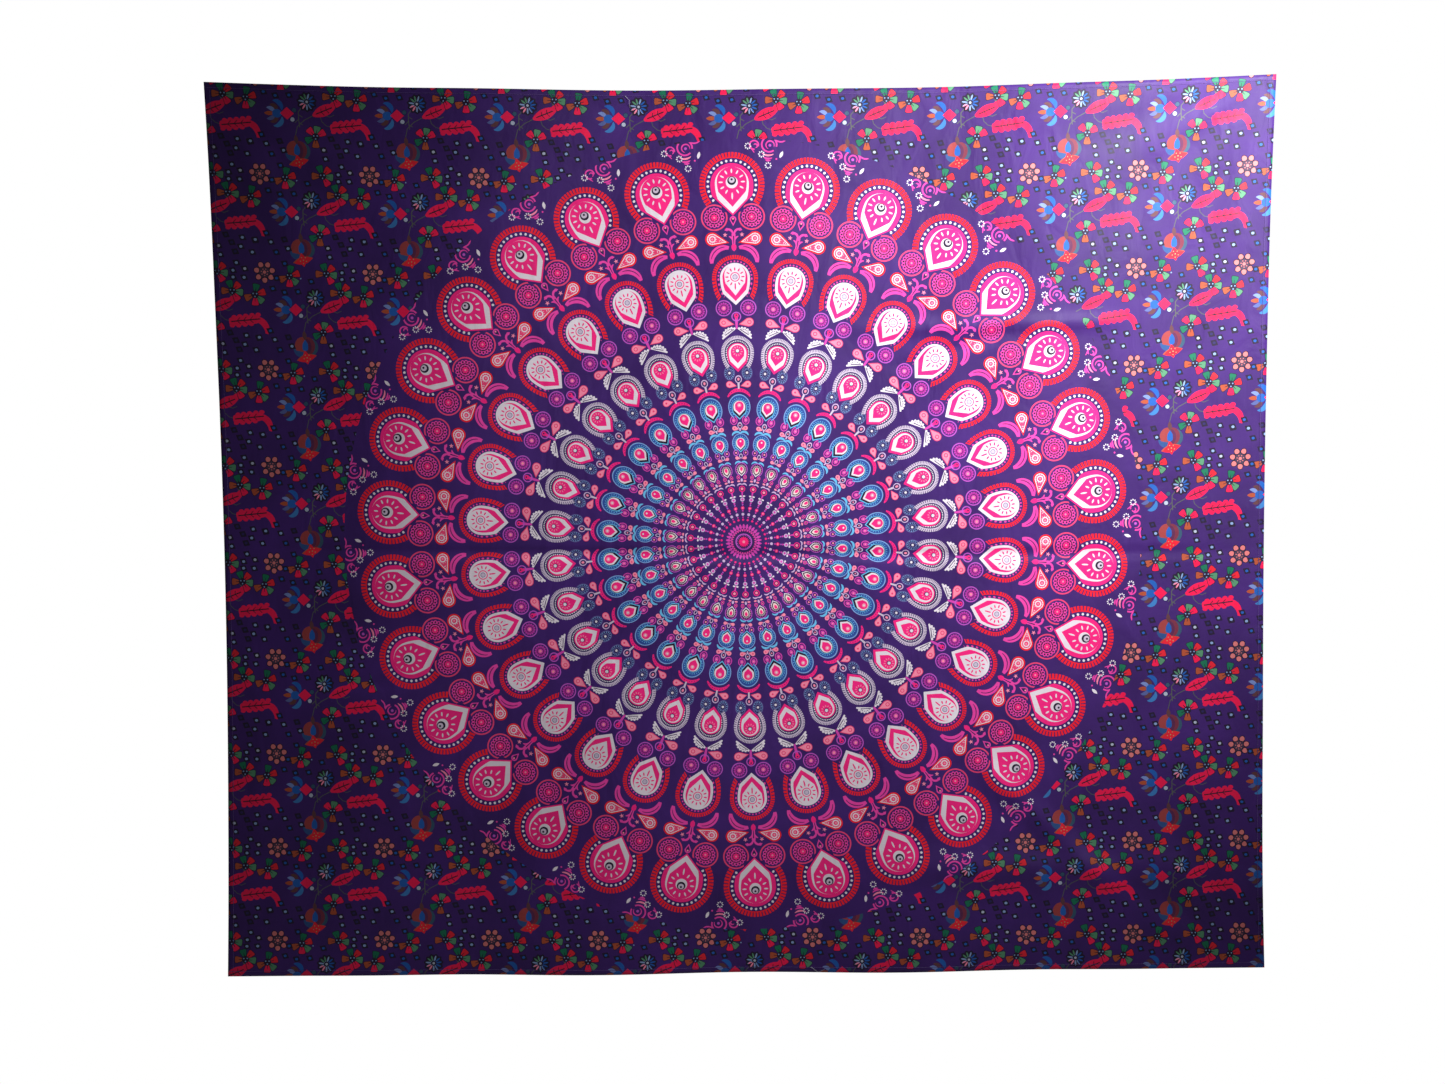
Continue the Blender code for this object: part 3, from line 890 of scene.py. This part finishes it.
def cloth_material(name, ghost):
    """The printed cloth. ghost True is its back, where the print shows as a pale tint."""
    material = bpy.data.materials.new(name)
    material.use_nodes = True
    tree = material.node_tree
    tree.nodes.clear()
    flat = node(tree, "ShaderNodeUVMap", {"uv_map": "flat"}, {})
    across, down = flat.parts()
    # Weave: warp and weft as two sets of fine ridges that cross over and under.
    warp = (across * (2.0 * math.pi / yarn_pitch)).math("SINE")
    weft = (down * (2.0 * math.pi / yarn_pitch)).math("SINE")
    weave = warp * weft
    slub = node(tree, "ShaderNodeTexNoise", {"noise_dimensions": "2D"},
                {"Vector": flat.placed(0, 0, 0, 0.020, 0.0008), "Scale": 1.0, "Detail": 2.0})
    cloud = node(tree, "ShaderNodeTexNoise", {"noise_dimensions": "2D"},
                 {"Vector": flat, "Scale": 9.0, "Detail": 3.0})
    wrinkle = node(tree, "ShaderNodeTexNoise", {"noise_dimensions": "2D"},
                   {"Vector": flat.placed(0, 0, 12, 0.5, 1.0), "Scale": 14.0, "Detail": 3.0,
                    "Roughness": 0.45, "Distortion": 0.6})
    ripple = node(tree, "ShaderNodeBump", {}, {"Strength": 0.55, "Distance": 0.0030,
                                               "Height": wrinkle})
    bump = node(tree, "ShaderNodeBump", {}, {"Strength": 0.35, "Distance": 0.00010,
                                             "Height": weave * 0.5 + slub * 0.6, "Normal": ripple})
    rough = cloud * 0.10 + slub * 0.08 + 0.50
    # Painted shade of the weave: in a fine check, the colour is made lighter where the weave's bump
    # rises and darker where it falls. The slubs make it lighter along them, and the cloud of noise
    # makes its tone uneven at random.
    weave_shade_and_tone = weave * 0.035 + slub * 0.16 + cloud * 0.22 + 0.76

    def finish(colour):
        even = node(tree, "ShaderNodeCombineXYZ", {}, {0: weave_shade_and_tone, 1: weave_shade_and_tone, 2: weave_shade_and_tone})
        shade = mix(tree, 1.0, colour, even, "MULTIPLY")
        if ghost:
            shade = mix(tree, 0.80, shade, dye(196, 186, 208))
        values = {"Base Color": shade, "Roughness": rough, "Normal": bump, "Sheen Weight": 0.06,
                  "Sheen Roughness": 0.35, "Specular IOR Level": 0.30}
        return node(tree, "ShaderNodeBsdfPrincipled", {}, values)

    deep = dye(46, 16, 84)
    lively = dye(64, 27, 112)
    ground = mix(tree, cloud, deep, lively)
    # The print sits a little askew on the cloth: turned, sheared, and pressed together.
    x = (across - middle[0]) * 1000.0
    y = (middle[1] - down) * 1000.0
    y = x * 0.0048 + y * 0.988 - y * y * 0.3e-5 - 2.4
    x = x * 0.982
    centre = node(tree, "ShaderNodeCombineXYZ", {}, {0: x, 1: y})
    far = centre.vector("LENGTH", output=1)
    turn = x.math("ARCTAN2", y) + math.radians(1.5)
    step = math.radians(12.0)
    fold = (turn * (1.0 / step) + 0.5).math("FRACT") * step - 0.5 * step
    side = far * fold.math("SINE")
    rise = far * fold.math("COSINE")
    slice_at = node(tree, "ShaderNodeCombineXYZ", {}, {0: abs(side), 1: rise})
    gap = (turn * (1.0 / step)).math("FRACT") * step - 0.5 * step
    gap_places = {0: far * gap.math("SINE"), 1: far * gap.math("COSINE")}
    gap_at = node(tree, "ShaderNodeCombineXYZ", {}, gap_places)
    inner = printed(tree, mandala_plan, ground, slice_at, gap_at, (abs(side), rise), finish)
    core = printed(tree, heart_plan, ground, centre, centre, (x, y), finish)
    disc = node(tree, "ShaderNodeMixShader", {}, {0: far > heart_reach, 1: core, 2: inner})
    start_x = 1000.0 * middle[0] + flower_of_tile[0] - tiles_before * tile[0]
    start_y = flower_of_tile[1] - tiles_before * tile[1]
    tile_x = (across * (1000.0 / tile[0]) - start_x / tile[0]).math("FRACT") * tile[0]
    tile_y = (down * (1000.0 / tile[1]) - start_y / tile[1]).math("FRACT") * tile[1]
    tile_at = node(tree, "ShaderNodeCombineXYZ", {}, {0: tile_x, 1: tile_y})
    border = printed(tree, border_plan, ground, tile_at, tile_at, (tile_x, tile_y), finish)
    whole = node(tree, "ShaderNodeMixShader", {}, {0: far > mandala_reach, 1: disc, 2: border})
    node(tree, "ShaderNodeOutputMaterial", {}, {0: whole})
    return material


sheet = cloth_sheet("printed_sheet", 236, 200)
sheet.data.materials.append(cloth_material("printed cloth", False))
sheet.data.materials.append(cloth_material("back of the cloth", True))
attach(sheet, "root")
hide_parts("printed_panel")

# THE HEMS. Each side of the sheet is turned 10 mm to the back and pressed into a fold 1 mm thick, with
# a shallow bed along the seam. They are the same cloth, so from behind they show its printed side, cut
# off where the pattern ran out, and they pucker a little between stitches.
hem_thickness = 0.0010
fold_round = 0.0007
bed_half = 0.0006
bed_depth = 0.0007
pucker_depth = 0.00014
seat = 0.0003
stitch = 0.0028


def spot(edge, along, inward):
    """Flat place of a point given along one edge of the sheet and in from it."""
    if edge == "top":
        return along, inward
    if edge == "bottom":
        return along, height - inward
    return (inward, along) if edge == "left" else (width - inward, along)


def tube(name, rings, lengths, layer):
    """A closed piece from rings of points, (stations, points of a ring, 3). Rings are joined by quads,
    and each end is closed by quads across its ring. The signed volume tells whether the faces point
    outwards, and they are turned round if they don't. Map "flat" holds lengths and layer."""
    stations, count = rings.shape[:2]
    points = rings.reshape(-1, 3)
    ring = np.arange(stations * count).reshape(stations, count)
    ahead = np.roll(ring, -1, axis=1)
    sides = np.stack([ring[:-1], ring[1:], ahead[1:], ahead[:-1]], -1).reshape(-1, 4)
    step = np.arange(count // 2 - 1)
    cap = np.stack([step, step + 1, count - 2 - step, count - 1 - step], -1)
    faces = np.concatenate([sides, cap, cap[:, ::-1] + (stations - 1) * count])
    first, second, third, fourth = (points[faces[:, i]] for i in range(4))
    volume = (np.cross(first, second) * third).sum() + (np.cross(first, third) * fourth).sum()
    faces = faces if volume > 0 else faces[:, ::-1]
    flat = np.stack(np.broadcast_arrays(lengths, layer), -1).reshape(-1, 2)
    return surface(name, points, faces, (("flat", flat[faces]),))


def swept(name, edge, along, inward, distance, layer):
    """A closed profile carried along an edge: inward and distance are (stations, points) arrays."""
    across, down = np.broadcast_arrays(*spot(edge, along[:, None], inward))
    rings = hung(across, down, distance + creasing(across, down))
    return tube(name, rings, along[:, None], layer)


def hem(edge, start, stop):
    """One hem: its profile is a flat loop with a round fold at the sheet's edge, a softer one inside,
    and a bed for the seam behind. The top of the loop dips between stitches by a sine. The softer
    fold's points run from front to back, so the loop crosses itself once just before it."""
    turn = np.linspace(0.0, np.pi, 7)
    radius = 0.5 * hem_thickness
    outer_in = radius - radius * np.sin(turn)
    outer_off = radius + radius * np.cos(turn)
    near = seam_line - bed_half
    far = seam_line + bed_half
    back_in = np.array([0.0030, near - 0.0004, near, far, far + 0.0003, 0.0090])
    back_off = np.array([0.0, 0.0, bed_depth, bed_depth, 0.0, 0.0])
    inner_in = hem_width - fold_round + fold_round * np.sin(turn[::-1])
    inner_off = radius - radius * np.cos(turn[::-1] - np.pi)
    front_in = back_in[::-1]
    front_off = np.full(6, hem_thickness)
    inward = np.concatenate([outer_in, back_in, inner_in, front_in])
    distance = np.concatenate([outer_off, back_off, inner_off[::-1], front_off])
    along = np.linspace(start, stop, 481)
    wander = 1.3 * np.sin(along * 31.0)
    pucker = 0.5 + 0.5 * np.sin(2.0 * np.pi * along / (3.5 * stitch) + wander)
    edge_wave = 0.00018 * np.sin(along * 83.0) * np.sin(along * 29.0 + 1.0)
    inward = inward[None, :] + np.where(inward > 0.008, 1.0, 0.0) * edge_wave[:, None]
    inward = np.clip(inward, 0.0, hem_width)
    near_seam = np.exp(-(((inward - seam_line) / 0.0016) ** 2))
    front = np.where(distance[None, :] > 0.9 * hem_thickness, 1.0, 0.0)
    distance = distance[None, :] - pucker_depth * front * near_seam * pucker[:, None]
    piece = swept("hem_" + edge, edge, along, inward, distance, -inward)
    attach(piece, "root")
    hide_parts("hem_fold_" + edge)
    return piece


hem_cloth = bpy.data.materials.new("hem cloth")
hem_cloth.use_nodes = True
tree = hem_cloth.node_tree
tree.nodes.clear()
flat = node(tree, "ShaderNodeUVMap", {"uv_map": "flat"}, {})
along, inward = flat.parts()
warp = (along * (2.0 * math.pi / yarn_pitch)).math("SINE")
weft = (inward * (2.0 * math.pi / yarn_pitch)).math("SINE")
weave = warp * weft
cloud = node(tree, "ShaderNodeTexNoise", {"noise_dimensions": "2D"},
             {"Vector": flat, "Scale": 60.0, "Detail": 3.0})
fleck = node(tree, "ShaderNodeTexVoronoi", {"voronoi_dimensions": "2D"},
             {"Vector": flat, "Scale": 85.0})
which = node(tree, "ShaderNodeTexVoronoi", {"voronoi_dimensions": "2D"},
             {"Vector": flat, "Scale": 85.0}, 1).vector("DOT_PRODUCT", (0.4, 0.35, 0.25), output=1)
colour = mix(tree, cloud, dye(44, 18, 80), dye(62, 28, 106))
flecks = ((0.0, night), (0.42, cherry), (0.50, green), (0.56, azure), (0.62, orange), (0.68, night))
for low, ink in flecks:
    colour = mix(tree, (fleck < 0.30) * (which > low) * (which < low + 0.06), colour, ink)
worn = mix(tree, (inward > -0.0012) * cloud * 0.55, colour, dye(150, 128, 176))
height_map = weave * 0.5 + cloud * 0.4
values = {"Base Color": worn, "Roughness": cloud * 0.14 + 0.52, "Sheen Weight": 0.06,
          "Specular IOR Level": 0.30}
values["Normal"] = node(tree, "ShaderNodeBump", {},
                        {"Strength": 0.4, "Distance": 0.0001, "Height": height_map})
shader = node(tree, "ShaderNodeBsdfPrincipled", {}, values)
node(tree, "ShaderNodeOutputMaterial", {}, {0: shader})

hems = [
    hem("top", 0.0, width),
    hem("bottom", 0.0, width),
    hem("left", hem_width + seat, height - hem_width - seat),
    hem("right", hem_width + seat, height - hem_width - seat),
]
for piece in hems:
    piece.data.materials.append(hem_cloth)

# THE SEWING THREADS. A lockstitch seam holds each hem, with 2.8 mm stitches: the dark needle thread
# shows on the print, and the pale bobbin thread lies in the bed behind. Both are spun polyester of
# three twisted plies. Each stitch lies on the cloth, and sinks and narrows at the needle's holes.
thread_width = 0.0006
thread_thickness = 0.0003
ply_length = 0.0005
ply_scale = 0.0001


def seam(kind, edge, start, stop, back, dip):
    """A row of stitches as one tube. Along each stitch the half width and the height over the cloth
    follow a flat-topped hump, one minus the sixth power of the place in it, and its two sides
    wander a little by a sine, so the row isn't a ruled line."""
    stitches = round((stop - start) / stitch)
    along = np.linspace(start, stop, stitches * 7 + 1)
    place = 2.0 * np.mod(np.linspace(0.0, stitches, len(along)), 1.0) - 1.0
    hump = 1.0 - np.abs(place) ** 6
    around = np.linspace(0.0, 2.0 * np.pi, 7)[:-1] + np.pi / 6.0
    half = 0.5 * thread_width * (0.42 + 0.50 * hump)
    wander = 0.00003 * np.sin(along * 311.0) + 0.00004 * place * hump
    inward = seam_line + wander[:, None] + half[:, None] * np.cos(around)
    thick = 0.5 * thread_thickness * (0.55 + 0.45 * hump)
    middle_off = back + 0.5 * thread_thickness + dip * (1.0 - hump)
    distance = middle_off[:, None] + thick[:, None] * np.sin(around)
    piece = swept(kind + "_stitches_" + edge, edge, along, inward, distance, around * ply_scale)
    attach(piece, "root")
    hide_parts(kind + "_thread_" + edge)
    return piece


def thread_material(name, dark, light):
    """Twisted thread: three plies, a sine of the length plus the angle round the thread, raise it and
    paint shade into it, its colour darker in the grooves between the plies and lighter on their crests,
    and noise makes its dye uneven."""
    material = bpy.data.materials.new(name)
    material.use_nodes = True
    tree = material.node_tree
    tree.nodes.clear()
    flat = node(tree, "ShaderNodeUVMap", {"uv_map": "flat"}, {})
    along, around = flat.parts()
    twist = along * (2.0 * math.pi / ply_length) + around * (1.0 / ply_scale)
    ply = twist.math("SINE") * 0.5 + 0.5
    cloud = node(tree, "ShaderNodeTexNoise", {"noise_dimensions": "2D"},
                 {"Vector": flat, "Scale": 240.0, "Detail": 2.0})
    # Painted shade: darker in the grooves between the plies and lighter on their crests; the noise
    # makes the dye uneven.
    colour = mix(tree, ply * 0.6 + cloud * 0.5, dark, light)
    bump = node(tree, "ShaderNodeBump", {}, {"Strength": 0.5, "Distance": 0.0001, "Height": ply})
    values = {"Base Color": colour, "Roughness": cloud * 0.2 + 0.45, "Sheen Weight": 0.15,
              "Normal": bump}
    shader = node(tree, "ShaderNodeBsdfPrincipled", {}, values)
    node(tree, "ShaderNodeOutputMaterial", {}, {0: shader})
    return material


needle_finish = thread_material("needle thread", dye(48, 26, 92), dye(118, 84, 168))
bobbin_finish = thread_material("bobbin thread", dye(150, 146, 156), dye(226, 222, 230))
needle_back = panel_back + panel_thickness + seat
for kind, back, dip, finish in (
    ("needle", needle_back, -0.00018, needle_finish),
    ("bobbin", 0.0001, 0.00016, bobbin_finish),
):
    for edge, margin, span in (
        ("top", 0.001, width), ("bottom", 0.001, width),
        ("left", 0.011, height), ("right", 0.011, height),
    ):
        piece = seam(kind, edge, margin, span - margin, back, dip)
        piece.data.materials.append(finish)

# THE LOOSE ENDS. Two ends of white thread, each under 30 mm long, were never trimmed where a seam was
# started again: one curls down over the print near the middle of the top edge, and one hangs at the
# bottom edge. They are spun polyester like the rest of the seams.
end_length = 0.027
end_radius = 0.00028
frayed_share = 0.08


def loose_end(name, across, down, lift):
    """A thin tube along a curve of the flat sheet: rings turned round the local direction of the way
    it runs, drawn in to a frayed point at its free end by a square root."""
    centre = hung(across, down, panel_back + panel_thickness + lift)
    forward = np.gradient(centre, axis=0)
    forward /= np.linalg.norm(forward, axis=1)[:, None]
    side = np.cross(forward, (0.0, 1.0, 0.0))
    side /= np.linalg.norm(side, axis=1)[:, None]
    up = np.cross(side, forward)
    radius = end_radius * np.sqrt(np.linspace(1.0, frayed_share, len(across)))
    around = np.linspace(0.0, 2.0 * np.pi, 9)[:-1]
    turned = np.cos(around)[:, None] * side[:, None] + np.sin(around)[:, None] * up[:, None]
    rings = centre[:, None] + radius[:, None, None] * turned
    lengths = np.linspace(0.0, end_length, len(across))[:, None]
    piece = tube(name, rings, lengths, around * ply_scale)
    piece.data.materials.append(bobbin_finish)
    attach(piece, "root")
    return piece


run = np.linspace(0.0, 1.0, 40)
loose_end(
    "loose_end_top",
    0.588 + 0.010 * run + 0.0025 * np.sin(run * 5.0),
    0.0078 + 0.016 * run**1.3 + 0.002 * np.sin(run * 7.0),
    0.0009 + 0.0035 * np.sin(np.pi * run) * run,
)
loose_end(
    "loose_end_bottom",
    0.842 + 0.021 * run,
    height - 0.0076 + 0.0055 * np.sin(run * 2.6) - 0.001 * np.sin(run * 9.0),
    0.0009 + 0.0030 * np.sin(np.pi * run) * run,
)

# THE STAGE. A plain round pale floor well below the hung sheet, plain white surroundings that light it
# a little, a soft spot light at the upper right, a weaker light behind it, and a camera a little above
# the sheet's middle.
floor_radius = 1.25
floor_level = -1.9
turn = np.linspace(0.0, 2.0 * np.pi, 65)[:-1]
rim = np.stack([floor_radius * np.cos(turn), floor_radius * np.sin(turn), np.full(64, floor_level)], -1)
floor_mesh = bpy.data.meshes.new("floor")
floor_mesh.from_pydata(rim.tolist(), [], [list(range(64))])
floor = bpy.data.objects.new("floor", floor_mesh)
bpy.context.collection.objects.link(floor)
floor_paint = bpy.data.materials.new("pale floor")
floor_paint.use_nodes = True
floor_shader = floor_paint.node_tree.nodes["Principled BSDF"]
floor_shader.inputs["Base Color"].default_value = (0.9, 0.9, 0.9, 1)
floor_shader.inputs["Roughness"].default_value = 0.9
floor.data.materials.append(floor_paint)

world = bpy.data.worlds.new("white room")
world.use_nodes = True
bpy.context.scene.world = world
world.node_tree.nodes.clear()
seen = node(world.node_tree, "ShaderNodeLightPath", {}, {})
room_light = {"Color": (1, 1, 1, 1), "Strength": seen * 0.88 + 0.12}
room = node(world.node_tree, "ShaderNodeBackground", {}, room_light)
node(world.node_tree, "ShaderNodeOutputWorld", {}, {0: room})

key = bpy.data.lights.new("key light", "SPOT")
key.energy = 470.0
key.spot_size = math.radians(59)
key.spot_blend = 1.0
key.shadow_soft_size = 0.25
key_light = bpy.data.objects.new("key light", key)
bpy.context.collection.objects.link(key_light)
key_light.location = (1.28, -1.10, 0.63)
aim = Vector((0.60, 0.0, -0.08)) - key_light.location
key_light.rotation_euler = aim.to_track_quat("-Z", "Y").to_euler()

fill = bpy.data.lights.new("back light", "AREA")
fill.shape = "DISK"
fill.size = 1.2
fill.energy = 45.0
fill_light = bpy.data.objects.new("back light", fill)
bpy.context.collection.objects.link(fill_light)
fill_light.location = (0.9, 2.1, 0.5)
aim = Vector((0.0, 0.0, -0.7)) - fill_light.location
fill_light.rotation_euler = aim.to_track_quat("-Z", "Y").to_euler()

camera = bpy.data.cameras.new("camera")
camera.lens = 50.9
camera.sensor_width = 36.0
viewer = bpy.data.objects.new("camera", camera)
bpy.context.collection.objects.link(viewer)
viewer.location = (-0.040, -2.900, -0.422)
viewer.rotation_euler = (math.radians(90.0 - 4.51), math.radians(0.44), math.radians(-0.23))
bpy.context.scene.camera = viewer
bpy.context.scene.view_settings.view_transform = "Standard"
